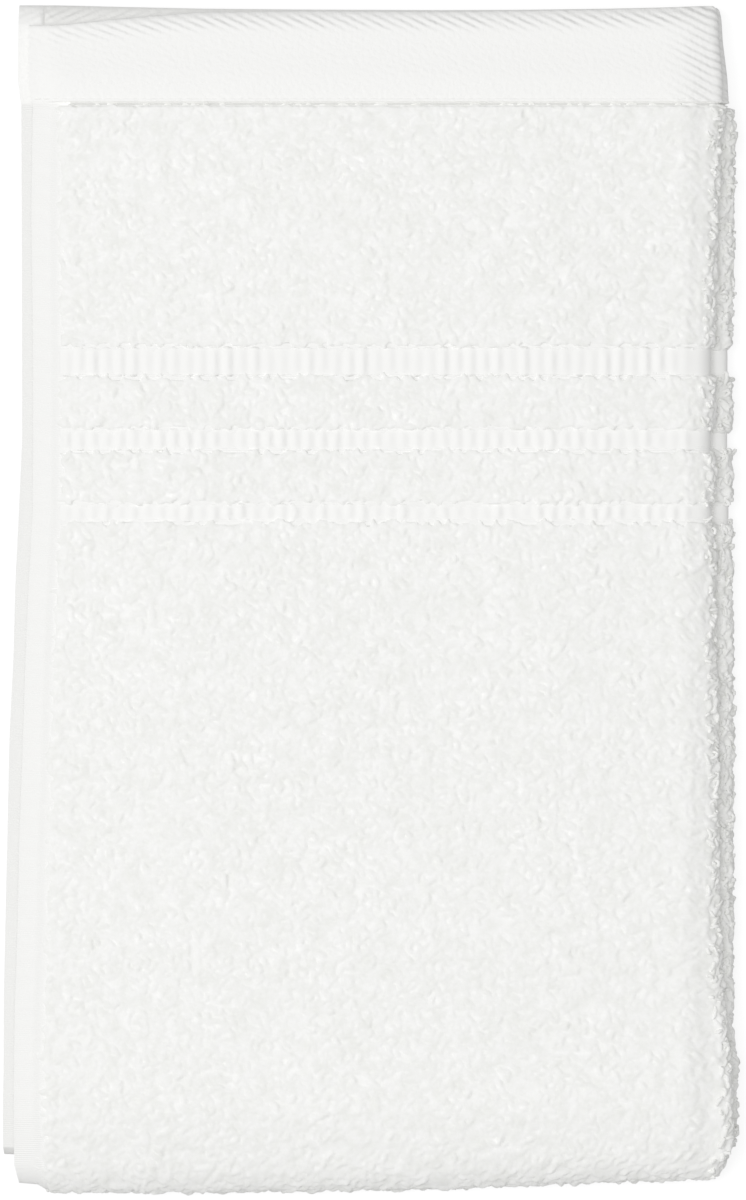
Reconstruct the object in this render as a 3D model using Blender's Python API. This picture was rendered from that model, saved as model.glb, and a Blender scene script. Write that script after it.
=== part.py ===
"""A white hand towel in cotton terry, folded in quarters and lying flat.

The towel is one piece of cloth, 406 x 686 mm, with a hem across each end, a woven selvedge down
each side and a border of three flat stripes near each end. It is folded in half lengthwise, with
that fold at +X, and then in half crosswise, with that fold at -Y. Four layers lie on each other:
layer 1 on top, layers 2 and 3 inside and layer 4 on the table. Layers 1 and 2 are the upper pair,
layers 3 and 4 the lower pair, and the lengthwise fold joins the two layers of a pair.

Lengths are in millimetres until the towel is placed. "Across" runs from the folded towel's left
outline to the right, and "along" from its hemmed end at +Y to the crosswise fold at -Y.
"""

import collections
import math

import bmesh
import bpy

MM = 0.001

# Thickness of the cloth, from its middle to one of its faces.
GROUND = 0.5
PILE_FREE = 2.6
PILE_PRESSED = 1.2
FREE = GROUND + PILE_FREE
PRESSED = GROUND + PILE_PRESSED
HEM = 1.5
HEM_LIP = 0.7
HEM_SIDE = 1.1
SEAM = 0.9
STRIPE = 0.7
SELVEDGE = 0.6

# Heights of the free face and of the face pressed on another layer, for each kind of row.
HEIGHTS = {
    "lip": (HEM_LIP, HEM_LIP),
    "hem": (HEM, HEM),
    "seam": (SEAM, SEAM),
    "stripe": (STRIPE, STRIPE),
    "pile": (FREE, PRESSED),
}
HEM_ROWS = ("lip", "hem", "seam")

# Space between two layers, and how much more there is under the hems and in the soft middle.
GAP = 0.3
HEM_AIR = 0.35
LOOSE = 0.7

# Radius of the cloth's middle in the lengthwise fold.
FOLD_RADIUS = PRESSED + GAP / 2

# Widths and places on the cloth.
SELVEDGE_WIDTH = 5.0
SELVEDGE_TO_PILE = 3.0
SIDE_PILE = 0.85
SEAM_AT = 28.6
LIP_WIDTH = 1.2
SEAM_WIDTH = 1.2
SEAM_TO_PILE = 2.0
PILE_EDGE = 0.9

# The border's flat stripes: where each starts and ends, along from the hemmed end.
STRIPES = ((98.5, 106.5), (121.9, 127.6), (143.3, 148.0))

# Other rows of the hem and of the pile, along, and where the crosswise fold starts.
HEM_AT = (LIP_WIDTH, 7.0, 14.0, 21.0, SEAM_AT - SEAM_WIDTH)
PILE_AT = (SEAM_AT + SEAM_TO_PILE, 50.0, 74.0, 168.0, 194.0, 220.0, 246.0, 270.0, 290.0, 306.0, 318.0)
BEND_AT = 330.0

# Straight columns of a layer, from its selvedge: the first in millimetres, the others as a share
# of the way from there to the lengthwise fold.
SIDE_COLUMNS = (0.0, SELVEDGE_WIDTH, SELVEDGE_WIDTH + SELVEDGE_TO_PILE, 14.0)
SHARES = (0.12, 0.26, 0.4, 0.54, 0.68, 0.82, 0.92)
FOLD_STEPS = 8
BEND_STEPS = 10

# How far each layer's selvedge hangs down, and over what width: layer, depth, width.
SAGS = {1: (2.4, 11.0), 2: (2.4, 16.0), 3: (1.6, 14.0), 4: (1.0, 8.0)}

# The folded towel's edges, across, at places along it. The layers were not folded quite square:
# layer 2 shows beyond layer 1 on the left, and the lower pair beyond the upper pair on the right.
# Columns: along, selvedge of layer 1, selvedge of layer 2, fold of the upper pair, of the lower.
EDGES = (
    (0.0, 7.8, 4.6, 202.9, 204.1),
    (10.0, 7.8, 4.5, 203.4, 204.7),
    (21.0, 7.8, 4.4, 204.4, 206.0),
    (29.0, 8.9, 5.4, 204.3, 206.4),
    (38.0, 8.7, 5.4, 202.6, 206.8),
    (60.0, 8.4, 5.5, 201.4, 206.4),
    (100.0, 8.9, 5.6, 200.6, 205.7),
    (125.0, 8.9, 5.6, 200.6, 205.6),
    (145.0, 8.8, 4.7, 200.8, 206.0),
    (165.0, 7.7, 3.7, 200.9, 205.8),
    (188.0, 6.7, 3.1, 201.3, 206.0),
    (210.0, 6.0, 2.0, 201.6, 206.1),
    (240.0, 4.9, 1.4, 201.9, 206.1),
    (262.0, 4.5, 0.9, 202.1, 206.0),
    (285.0, 3.7, 0.4, 203.0, 205.9),
    (307.0, 3.4, 0.3, 205.2, 206.6),
    (320.0, 3.4, 0.1, 205.8, 207.1),
)

# The same halfway round the crosswise fold: layer 1, layer 2, fold of both pairs.
EDGES_AT_BEND = (4.6, 0.4, 203.4)

# The hem's edge on each layer and the centre of the crosswise fold, along, at places across.
# Columns: across, layer 1, layer 2, layer 3, layer 4, centre of the crosswise fold.
ENDS = (
    (4.0, 6.3, 0.0, 1.4, 6.9, 331.9),
    (16.0, 6.3, 0.0, 1.4, 6.8, 331.9),
    (32.0, 4.6, 0.5, 1.6, 5.9, 331.9),
    (56.0, 2.4, 1.1, 2.0, 4.6, 331.8),
    (85.0, 2.1, 1.4, 2.2, 3.9, 331.6),
    (125.0, 2.3, 1.6, 2.3, 3.4, 330.8),
    (148.0, 2.0, 1.5, 2.2, 3.0, 329.9),
    (171.0, 1.6, 1.2, 1.9, 2.4, 329.0),
    (185.0, 1.2, 0.9, 1.5, 1.9, 328.5),
    (206.0, 0.2, 0.2, 0.5, 0.6, 328.0),
)

# The inner layers turn back this far before the outer ones do.
INNER_SET_BACK = 4.9

# A row of the cloth: its distance from the hemmed end, what is woven there, and its angle round
# the crosswise fold, which is 0 on the upper pair and pi on the lower.
Row = collections.namedtuple("Row", "along kind angle")

# A column: 0 on the outer layer of a pair, 1 on the inner and between them in the lengthwise fold,
# its number from the selvedge, or None in that fold, and its angle round it, or None elsewhere.
Column = collections.namedtuple("Column", "inner number turn")


def smooth(value, start, end):
    """0 up to start, 1 from end on, with a soft rise between."""
    share = min(max((value - start) / (end - start), 0.0), 1.0)
    return share * share * (3.0 - 2.0 * share)


def mix(low, high, share):
    return low + (high - low) * share


def read(table, place, column):
    """A table's value at a place, on straight lines between its rows."""
    if place <= table[0][0]:
        return table[0][column]
    for low, high in zip(table, table[1:]):
        if place <= high[0]:
            return mix(low[column], high[column], (place - low[0]) / (high[0] - low[0]))
    return table[-1][column]


def fold_at(pair, along):
    return read(EDGES, along, 3 if pair == "upper" else 4)


def selvedge_at(layer, along):
    """Across place of a layer's selvedge. The lower pair lies as far right as its fold does."""
    if layer in (1, 2):
        return read(EDGES, along, layer)
    return read(EDGES, along, 5 - layer) + fold_at("lower", along) - fold_at("upper", along)


def halves(layer, along):
    """Heights that a layer takes up in the stack, below and above its middle."""
    loft = smooth(along, 8.0, SEAM_AT)
    pressed = mix(HEM, PRESSED, loft)
    return (mix(HEM, FREE, loft) if layer == 4 else pressed), pressed


def space_over(layer, across, along):
    """Space between a layer and the next one up: a little more in the middle, in soft waves."""
    from_end = along - read(ENDS, across, layer)
    hem_air = HEM_AIR * smooth(from_end, 0.0, 7.0) * (1.0 - smooth(along, 20.0, SEAM_AT))
    middle = smooth(across, 12.0, 60.0) * smooth(202.0 - across, 8.0, 50.0)
    middle *= smooth(along, 20.0, 70.0) * smooth(BEND_AT - along, 8.0, 60.0)
    wave = math.sin(across / 31.0 + layer) * math.sin(along / 43.0 + 2.0 * layer)
    return GAP + hem_air + LOOSE * middle * (0.6 + 0.4 * wave)


def level(layer, across, along):
    """Height of a layer's middle above the table."""
    height = halves(layer, along)[0]
    for lower in range(4, layer, -1):
        under_it = smooth(along - read(ENDS, across, lower), -10.0, 0.0)
        height += under_it * sum(halves(lower, along)) + space_over(lower, across, along)
    depth, width = SAGS[layer]
    sag = depth * (1.0 - smooth(across - selvedge_at(layer, along), 0.0, width))
    return height - sag * smooth(along, 12.0, SEAM_AT + 10.0)


def pair_levels(pair, across, along):
    """(height of a pair's middle, half the distance between the middles of its two layers)."""
    upper, lower = (1, 2) if pair == "upper" else (3, 4)
    high = level(upper, across, along)
    low = level(lower, across, along)
    return (high + low) / 2, (high - low) / 2


def make_rows():
    """The rows from the hem's edge on layer 1, round the crosswise fold, to the one on layer 4."""
    half = [(0.0, "lip")] + [(at, "hem") for at in HEM_AT] + [(SEAM_AT, "seam")]
    half += [(at, "pile") for at in PILE_AT]
    for start, end in STRIPES:
        half += [(start - PILE_EDGE, "pile"), (start, "stripe"), (end, "stripe"), (end + PILE_EDGE, "pile")]
    half.sort()
    upper = [Row(along, kind, 0.0) for along, kind in half]
    bend = [Row(BEND_AT, "pile", math.pi * i / BEND_STEPS) for i in range(BEND_STEPS + 1)]
    lower = [Row(along, kind, math.pi) for along, kind in reversed(half)]
    return upper + bend + lower


def make_columns():
    """The columns from one selvedge, round the lengthwise fold, to the other selvedge."""
    numbers = range(len(SIDE_COLUMNS) + len(SHARES))
    outer = [Column(0.0, number, None) for number in numbers]
    turns = [math.pi / 2 - math.pi * i / FOLD_STEPS for i in range(FOLD_STEPS + 1)]
    fold = [Column((1.0 - math.sin(turn)) / 2, None, turn) for turn in turns]
    inner = [Column(1.0, number, None) for number in reversed(numbers)]
    return outer + fold + inner


def across_of(column, edge, fold_centre):
    """Across place of a column's middle, between its layer's selvedge and the fold's centre."""
    if column.number is None:
        return fold_centre
    if column.number < len(SIDE_COLUMNS):
        return edge + SIDE_COLUMNS[column.number]
    start = edge + SIDE_COLUMNS[-1]
    return mix(start, fold_centre, SHARES[column.number - len(SIDE_COLUMNS)])


def height_of(row, column, outward):
    """How far a face of the cloth is from its middle."""
    free, pressed = HEIGHTS[row.kind]
    if column.number in (0, 1):
        side = HEM_SIDE if row.kind in HEM_ROWS else SELVEDGE
        return min(side, pressed)
    on_inner_layer = column.number is not None and column.inner == 1.0
    height = free if outward and not on_inner_layer else pressed
    # The last loops before the selvedge are a little shorter.
    return height * SIDE_PILE if column.number == 2 and row.kind == "pile" else height


def cloth_point(row, column, outward):
    """A point on the outward or the inward face of the folded cloth: across, along, height."""
    pair, outer, inner = ("upper", 1, 2) if row.angle < math.pi / 2 else ("lower", 4, 3)
    turned = math.sin(row.angle)
    layer = inner if column.inner > 0.5 else outer
    edge = mix(selvedge_at(layer, row.along), EDGES_AT_BEND[round(column.inner)], turned)
    fold_centre = mix(fold_at(pair, row.along), EDGES_AT_BEND[2], turned) - FOLD_RADIUS
    across = across_of(column, edge, fold_centre)

    end = mix(read(ENDS, across, outer), read(ENDS, across, inner), column.inner)
    bend = read(ENDS, across, 5) - INNER_SET_BACK * column.inner
    along = row.along + end * (1.0 - smooth(row.along, 0.0, SEAM_AT))
    along += (bend - BEND_AT) * smooth(row.along, STRIPES[-1][1], BEND_AT)

    upper_middle, upper_half = pair_levels("upper", across, along)
    lower_middle, lower_half = pair_levels("lower", across, along)
    radius = (upper_middle - lower_middle) / 2
    half = mix(upper_half, lower_half, row.angle / math.pi)

    height = height_of(row, column, outward) * (1 if outward else -1)
    if column.turn is None:
        offset = half + height if column.inner == 0.0 else -half - height
    else:
        # The other pair presses the pile flat under the fold.
        room = (radius - GAP / 2) / max(-math.sin(column.turn), 0.01) - half
        height = min(height, room)
        across += (FOLD_RADIUS + height) * math.cos(column.turn)
        offset = (half + height) * math.sin(column.turn)
    reach = radius + offset
    middle = (upper_middle + lower_middle) / 2
    return across, along + reach * turned, middle + reach * math.cos(row.angle)


def make_towel():
    """The folded cloth as one closed solid: its outward face, its inward face and the rim between."""
    rows = make_rows()
    columns = make_columns()
    mesh = bmesh.new()
    faces = {}
    for outward in (True, False):
        grid = [[mesh.verts.new(cloth_point(row, column, outward)) for column in columns] for row in rows]
        faces[outward] = grid
        for i in range(len(rows) - 1):
            for j in range(len(columns) - 1):
                mesh.faces.new((grid[i][j], grid[i][j + 1], grid[i + 1][j + 1], grid[i + 1][j]))
    outer, inner = faces[True], faces[False]
    last_row, last_column = len(rows) - 1, len(columns) - 1
    rim = [(0, j) for j in range(last_column)] + [(i, last_column) for i in range(last_row)]
    rim += [(last_row, j) for j in range(last_column, 0, -1)] + [(i, 0) for i in range(last_row, 0, -1)]
    for (i, j), (k, m) in zip(rim, rim[1:] + rim[:1]):
        mesh.faces.new((outer[i][j], outer[k][m], inner[k][m], inner[i][j]))
    return mesh


def place(mesh):
    """Turns the mesh to the towel's own frame, in metres: hemmed end at +Y, origin under its middle."""
    across = [vert.co.x for vert in mesh.verts]
    along = [vert.co.y for vert in mesh.verts]
    lowest = min(vert.co.z for vert in mesh.verts)
    middle_across = (min(across) + max(across)) / 2
    middle_along = (min(along) + max(along)) / 2
    for vert in mesh.verts:
        vert.co.x = (vert.co.x - middle_across) * MM
        vert.co.y = (middle_along - vert.co.y) * MM
        vert.co.z = (vert.co.z - lowest) * MM
    bmesh.ops.recalc_face_normals(mesh, faces=mesh.faces)


def cotton():
    """Bleached cotton: white, matt."""
    material = bpy.data.materials.new("white_cotton_terry")
    material.use_nodes = True
    shader = material.node_tree.nodes["Principled BSDF"]
    shader.inputs["Base Color"].default_value = (0.87, 0.87, 0.85, 1.0)
    shader.inputs["Roughness"].default_value = 0.95
    shader.inputs["Metallic"].default_value = 0.0
    return material


for old in list(bpy.data.objects):
    bpy.data.objects.remove(old, do_unlink=True)

cloth = make_towel()
place(cloth)
data = bpy.data.meshes.new("towel")
cloth.to_mesh(data)
cloth.free()
data.materials.append(cotton())
data.shade_smooth()
towel = bpy.data.objects.new("towel", data)
bpy.context.scene.collection.objects.link(towel)
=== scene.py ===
"""A white cotton terry hand towel, folded in quarters and lying flat, seen from straight above."""

import math

import bpy
import numpy as np
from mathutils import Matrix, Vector


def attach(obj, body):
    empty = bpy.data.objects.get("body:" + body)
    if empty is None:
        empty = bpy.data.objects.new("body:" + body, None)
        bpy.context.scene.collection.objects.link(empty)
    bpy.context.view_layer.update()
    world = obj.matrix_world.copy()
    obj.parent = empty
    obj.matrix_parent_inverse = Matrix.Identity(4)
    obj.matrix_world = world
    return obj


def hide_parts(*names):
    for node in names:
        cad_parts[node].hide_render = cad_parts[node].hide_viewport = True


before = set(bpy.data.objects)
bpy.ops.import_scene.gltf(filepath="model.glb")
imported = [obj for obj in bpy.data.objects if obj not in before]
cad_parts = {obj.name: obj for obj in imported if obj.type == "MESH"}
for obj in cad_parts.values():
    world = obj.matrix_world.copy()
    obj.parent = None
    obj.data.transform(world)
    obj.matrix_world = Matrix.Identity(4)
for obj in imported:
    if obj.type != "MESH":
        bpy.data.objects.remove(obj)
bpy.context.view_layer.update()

# --- The cloth ------------------------------------------------------------------------------------
# One length of cotton terry, 406 x 686 mm, bleached white. It is woven in one with a selvedge down
# each side and a border of three flat stripes near each end. Each end is turned in twice as a hem.
# It is folded in half lengthwise, with that fold at +X, and then crosswise, with that fold at -Y.

MM = 0.001
TOWEL_WIDTH = 406.0
TOWEL_LENGTH = 686.0

# Half thicknesses of the cloth, in millimetres, and the space between two of its layers.
PILE_TIPS = 3.1
PILE_BED = 1.9
PILE_PRESSED = 1.7
HEM = 1.5
GAP = 0.3
HEM_AIR = 0.35
LOOSE = 0.7

# How far the cloth's middle is from the centre of the lengthwise fold, how wide the cloth is that
# goes round it, and where a layer meets it. Then where the crosswise fold starts and how long it is,
# and how much further in the inner pair of layers folds.
FOLD_RADIUS = PILE_PRESSED + GAP / 2
ARCH = math.pi * FOLD_RADIUS
STRAIGHT = (TOWEL_WIDTH - ARCH) / 2
BEND_AT = 330.0
BEND_LENGTH = TOWEL_LENGTH - 2 * BEND_AT
INNER_SET_BACK = 4.9

HEM_DEPTH = 28.6
SELVEDGE = 5.0
PILE_START = 8.0
STRIPES = ((98.5, 106.5), (121.9, 127.6), (143.3, 148.0))
STRIPE_GROUND = 1.7

# The folded towel's middle, across from its left outline and along from its hemmed end.
MIDDLE_ACROSS, MIDDLE_ALONG = 105.15, 170.275

# The folded towel's edges, across, at places along it: the layers don't lie quite square.
ALONG, SELVEDGE_1, SELVEDGE_2, UPPER_FOLD, LOWER_FOLD = range(5)
EDGES = np.array((
    (0.0, 7.8, 4.6, 202.9, 204.1),
    (10.0, 7.8, 4.5, 203.4, 204.7),
    (21.0, 7.8, 4.4, 204.4, 206.0),
    (29.0, 8.9, 5.4, 204.3, 206.4),
    (38.0, 8.7, 5.4, 202.6, 206.8),
    (60.0, 8.4, 5.5, 201.4, 206.4),
    (100.0, 8.9, 5.6, 200.6, 205.7),
    (125.0, 8.9, 5.6, 200.6, 205.6),
    (145.0, 8.8, 4.7, 200.8, 206.0),
    (165.0, 7.7, 3.7, 200.9, 205.8),
    (188.0, 6.7, 3.1, 201.3, 206.0),
    (210.0, 6.0, 2.0, 201.6, 206.1),
    (240.0, 4.9, 1.4, 201.9, 206.1),
    (262.0, 4.5, 0.9, 202.1, 206.0),
    (285.0, 3.7, 0.4, 203.0, 205.9),
    (307.0, 3.4, 0.3, 205.2, 206.6),
    (320.0, 3.4, 0.1, 205.8, 207.1),
))
SELVEDGE_1_AT_BEND, SELVEDGE_2_AT_BEND, FOLD_AT_BEND = 4.6, 0.4, 203.4

# The hem's edge on each layer and the centre of the crosswise fold, along, at places across.
ACROSS, HEM_1, HEM_2, HEM_3, HEM_4, BEND_CENTRE = range(6)
ENDS = np.array((
    (4.0, 6.3, 0.0, 1.4, 6.9, 331.9),
    (16.0, 6.3, 0.0, 1.4, 6.8, 331.9),
    (32.0, 4.6, 0.5, 1.6, 5.9, 331.9),
    (56.0, 2.4, 1.1, 2.0, 4.6, 331.8),
    (85.0, 2.1, 1.4, 2.2, 3.9, 331.6),
    (125.0, 2.3, 1.6, 2.3, 3.4, 330.8),
    (148.0, 2.0, 1.5, 2.2, 3.0, 329.9),
    (171.0, 1.6, 1.2, 1.9, 2.4, 329.0),
    (185.0, 1.2, 0.9, 1.5, 1.9, 328.5),
    (206.0, 0.2, 0.2, 0.5, 0.6, 328.0),
))

# How much thinner the whole stack gets towards its outline, as a share, over what widths, and up to
# what places across and along.
FOLD_THINNER, BEND_THINNER, HEM_THINNER = 0.15, 0.46, 0.58
FOLD_SHOULDER, BEND_SHOULDER, HEM_SHOULDER = 11.0, 24.0, 8.5
FOLD_OUTLINE, BEND_OUTLINE = 204.5, 340.5

# How far each layer's selvedge hangs down, and over what width: layer, depth, width.
SAGS = {1: (2.4, 11.0), 2: (2.4, 16.0), 3: (1.6, 14.0), 4: (1.0, 8.0)}


def soft_step(value, start, end):
    """0 up to start, 1 from end on, with a soft rise between."""
    share = np.clip((value - start) / (end - start), 0.0, 1.0)
    return share * share * (3.0 - 2.0 * share)


def round_step(value, start, end):
    """0 up to start, 1 from end on, steep at first as the edge of something round."""
    share = np.clip((value - start) / (end - start), 0.0, 1.0)
    return np.sqrt(1.0 - (1.0 - share) ** 2)


def mix(low, high, share):
    return low + (high - low) * share


def read(table, place, column):
    return np.interp(place, table[:, 0], table[:, column])


def selvedge_at(layer, along):
    """Across place of a layer's selvedge. The lower pair lies as far right as its fold does."""
    if layer in (1, 2):
        return read(EDGES, along, layer)
    shift = read(EDGES, along, LOWER_FOLD) - read(EDGES, along, UPPER_FOLD)
    return read(EDGES, along, 5 - layer) + shift


def layer_halves(layer, along):
    """Heights that a layer takes up in the stack, below and above its middle."""
    loft = soft_step(along, 8.0, HEM_DEPTH)
    pressed = mix(HEM, PILE_PRESSED, loft)
    return (mix(HEM, PILE_TIPS, loft) if layer == 4 else pressed), pressed


def space_over(layer, across, along):
    """Space between a layer and the next one up: a little more in the middle, in soft waves."""
    from_hem = along - read(ENDS, across, layer)
    hem_air = HEM_AIR * soft_step(from_hem, 0.0, 7.0) * (1.0 - soft_step(along, 20.0, HEM_DEPTH))
    middle = soft_step(across, 12.0, 60.0) * soft_step(202.0 - across, 8.0, 50.0)
    middle = middle * soft_step(along, 20.0, 70.0) * soft_step(BEND_AT - along, 8.0, 60.0)
    wave = np.sin(across / 31.0 + layer) * np.sin(along / 43.0 + 2.0 * layer)
    return GAP + hem_air + LOOSE * middle * (0.6 + 0.4 * wave)


def layer_level(layer, across, along):
    """Height of a layer's middle above the table."""
    height = layer_halves(layer, along)[0]
    for under in range(4, layer, -1):
        under_it = soft_step(along - read(ENDS, across, under), -10.0, 0.0)
        height = height + under_it * sum(layer_halves(under, along)) + space_over(under, across, along)
    depth, width = SAGS[layer]
    sag = depth * (1.0 - soft_step(across - selvedge_at(layer, along), 0.0, width))
    return height - sag * soft_step(along, 12.0, HEM_DEPTH + 10.0)


def folded(side, end, lift):
    """Where points of the flat towel lie in the folded one, in metres.

    side is a point's distance from the first selvedge, end its distance from the first hem's edge,
    and lift its distance from the cloth's middle, which is over 0 on the face that is outside.
    """
    side, end, lift = np.broadcast_arrays(side, end, lift)
    roll = np.clip((side - STRAIGHT) / FOLD_RADIUS, 0.0, math.pi)
    bend = np.clip((end - BEND_AT) / BEND_LENGTH, 0.0, 1.0) * math.pi
    from_selvedge = np.clip(np.minimum(side, TOWEL_WIDTH - side), 0.0, STRAIGHT)
    from_hem = np.clip(np.minimum(end, TOWEL_LENGTH - end), 0.0, BEND_AT)
    inner = (1.0 - np.cos(roll)) / 2
    is_inner = inner > 0.5
    is_lower = bend > math.pi / 2
    turned = np.sin(bend)

    edge = np.where(
        is_lower,
        np.where(is_inner, selvedge_at(3, from_hem), selvedge_at(4, from_hem)),
        np.where(is_inner, selvedge_at(2, from_hem), selvedge_at(1, from_hem)),
    )
    edge = mix(edge, np.where(is_inner, SELVEDGE_2_AT_BEND, SELVEDGE_1_AT_BEND), turned)
    fold = np.where(is_lower, read(EDGES, from_hem, LOWER_FOLD), read(EDGES, from_hem, UPPER_FOLD))
    fold_centre = mix(fold, FOLD_AT_BEND, turned) - FOLD_RADIUS
    across = mix(edge, fold_centre, from_selvedge / STRAIGHT)

    upper_end = mix(read(ENDS, across, HEM_1), read(ENDS, across, HEM_2), inner)
    lower_end = mix(read(ENDS, across, HEM_4), read(ENDS, across, HEM_3), inner)
    hem_edge = np.where(is_lower, lower_end, upper_end)
    along = from_hem + hem_edge * (1.0 - soft_step(from_hem, 0.0, HEM_DEPTH))
    bend_centre = read(ENDS, across, BEND_CENTRE) - INNER_SET_BACK * inner
    along = along + (bend_centre - BEND_AT) * soft_step(from_hem, STRIPES[-1][1], BEND_AT)

    levels = [layer_level(layer, across, along) for layer in (1, 2, 3, 4)]
    upper_middle, upper_half = (levels[0] + levels[1]) / 2, (levels[0] - levels[1]) / 2
    lower_middle, lower_half = (levels[2] + levels[3]) / 2, (levels[2] - levels[3]) / 2
    radius = (upper_middle - lower_middle) / 2
    half = mix(upper_half, lower_half, bend / math.pi)

    # Under the lengthwise fold the other pair presses the pile flat, up to where that pair ends.
    turning = (roll > 0.0) & (roll < math.pi)
    room = (radius - GAP / 2) / np.maximum(-np.cos(roll), 0.01) - half
    rolled_to = across + np.where(turning, (FOLD_RADIUS + lift) * np.sin(roll), 0.0)
    other_end = read(EDGES, from_hem, UPPER_FOLD) + 1.0
    free = soft_step(rolled_to, other_end, other_end + 2.0) * is_lower
    lift = np.where(turning, np.minimum(lift, room + PILE_TIPS * free), lift)
    across = across + np.where(turning, (FOLD_RADIUS + lift) * np.sin(roll), 0.0)
    offset = (half + lift) * np.cos(roll)
    reach = radius + offset
    height = (upper_middle + lower_middle) / 2 + reach * np.cos(bend)
    along = along + reach * turned
    height = height * (1.0 - FOLD_THINNER * soft_step(across, FOLD_OUTLINE - FOLD_SHOULDER, FOLD_OUTLINE))
    by_bend = np.clip((along - BEND_OUTLINE) / BEND_SHOULDER + 1.0, 0.0, 1.0) ** 1.3
    height = height * (1.0 - BEND_THINNER * by_bend)
    height = height * mix(1.0 - HEM_THINNER, 1.0, round_step(along, 0.0, HEM_SHOULDER))
    return np.stack([across - MIDDLE_ACROSS, MIDDLE_ALONG - along, height], axis=-1) * MM


def patches(side, end, size, seed):
    """Soft random values between -1 and 1, in patches of a size in millimetres."""
    values = np.random.default_rng(seed).uniform(-1.0, 1.0, (400, 500))
    a, b = side / size + 3.0, end / size + 3.0
    i, j = np.floor(a).astype(int), np.floor(b).astype(int)
    s, t = soft_step(a - i, 0.0, 1.0), soft_step(b - j, 0.0, 1.0)
    i, j = i % 399, j % 499
    near = mix(values[i, j], values[i + 1, j], s)
    far = mix(values[i, j + 1], values[i + 1, j + 1], s)
    return mix(near, far, t)


def under_towel(side, end):
    """1 on the face that lies on the table, where the pile is pressed flat down to its tips."""
    below = soft_step(end, BEND_AT + 0.62 * BEND_LENGTH, BEND_AT + 0.97 * BEND_LENGTH)
    return below * (1.0 - soft_step(side, STRAIGHT - 2.0, STRAIGHT + 0.2 * ARCH))


def cloth_height(side, end, outward):
    """Half thickness of the cloth: at the hem, at the flat stripes and selvedges, and in the pile."""
    from_selvedge = np.minimum(side, TOWEL_WIDTH - side)
    from_hem = np.minimum(end, TOWEL_LENGTH - end)
    pile = np.full_like(side, PILE_PRESSED)
    if outward:
        free = mix(PILE_BED, PILE_TIPS, under_towel(side, end))
        past_fold = soft_step(side, STRAIGHT + ARCH, STRAIGHT + ARCH + 6.0)
        pile = mix(free, PILE_PRESSED, past_fold)
    height = pile + 0.1 * patches(side, end, 12.0, 2) - 0.1
    for start, stop in STRIPES:
        inside = soft_step(from_hem, start - 0.9, start) * (1.0 - soft_step(from_hem, stop, stop + 0.9))
        height = mix(height, STRIPE_GROUND, inside)
    flat_side = 1.0 - soft_step(from_selvedge, SELVEDGE, PILE_START)
    height = mix(height, 0.6, flat_side)
    # The hem has a round edge, a dent along its stitching, and a narrow groove where it ends.
    hem_places = (0.0, 0.25, 0.6, 1.2, 2.2, 3.7, 26.0, 27.0, 27.4, 27.8, 28.2, HEM_DEPTH, HEM_DEPTH + 0.3)
    hem_heights = (0.4, 0.75, 1.0, 1.2, 1.36, 1.5, 1.45, 1.5, 1.4, 1.7, 1.6, 0.35, 0.35)
    hem = np.interp(from_hem, hem_places, hem_heights)
    # The groove fades out at the selvedge.
    groove = mix(0.85, 0.35, soft_step(from_selvedge, 7.0, 10.5))
    hem = np.where(from_hem > 28.0, np.maximum(hem, groove), hem)
    if not outward:
        # On the second layer a crease crosses the hem, and the cloth beside it is pressed down.
        beside = soft_step(from_selvedge, 6.6, 7.5) * (1.0 - soft_step(from_hem, 5.0, 9.0))
        crease = 1.0 - soft_step(from_selvedge, 7.9, 8.8)
        hem = hem - (0.5 + 0.6 * crease) * beside
    hem = np.minimum(hem, mix(1.0, 1.62, soft_step(from_selvedge, 1.0, 9.0)))
    return mix(hem, height, soft_step(from_hem, HEM_DEPTH + 0.8, HEM_DEPTH + 2.0))


def lines_between(start, stop, step):
    """Places from start up to stop, not counting stop, about a step apart."""
    return list(np.linspace(start, stop, max(2, round((stop - start) / step) + 1))[:-1])


near_selvedge = [0.0, 0.5, 1.5, 3.0, 4.4, 5.0, 5.6, 6.3, 7.0, 7.6, 8.3, 9.5]
sides = near_selvedge + lines_between(11.0, STRAIGHT, 4.5)
sides += lines_between(STRAIGHT, TOWEL_WIDTH - STRAIGHT, ARCH / 14)
sides += lines_between(TOWEL_WIDTH - STRAIGHT, TOWEL_WIDTH - 11.0, 7.0)
sides += [TOWEL_WIDTH - place for place in reversed([*near_selvedge, 11.0])]

half_ends = [0.0, 0.25, 0.6, 1.2] + lines_between(2.2, 26.0, 1.5)
half_ends += [26.0, 27.0, 27.4, 27.8, 28.2, 28.6, 28.9, 29.4, 29.8, 30.2, 30.8]
place = 32.0
for start, stop in STRIPES:
    half_ends += lines_between(place, start - 1.2, 4.5) + [start - 1.2, start - 0.8, start - 0.4]
    half_ends += lines_between(start, stop, 1.6) + [stop, stop + 0.4, stop + 0.8]
    place = stop + 1.2
half_ends += lines_between(place, BEND_AT, 4.5)
ends = half_ends + lines_between(BEND_AT, TOWEL_LENGTH - BEND_AT, BEND_LENGTH / 16)
ends += [TOWEL_LENGTH - place for place in [BEND_AT, *reversed(half_ends)]]

side_grid, end_grid = np.meshgrid(np.array(sides), np.array(ends))
outside = folded(side_grid, end_grid, cloth_height(side_grid, end_grid, True))
inside = folded(side_grid, end_grid, -cloth_height(side_grid, end_grid, False))
outside[..., 2] = np.maximum(outside[..., 2], 0.0)


def numbers_and_quads(grid):
    """Numbers of a grid's points, and its faces with four corners, which face out of the cloth."""
    number = np.arange(grid.size).reshape(grid.shape)
    quads = np.stack([number[:-1, :-1], number[1:, :-1], number[1:, 1:], number[:-1, 1:]], axis=-1)
    return number, quads.reshape(-1, 4)


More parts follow.
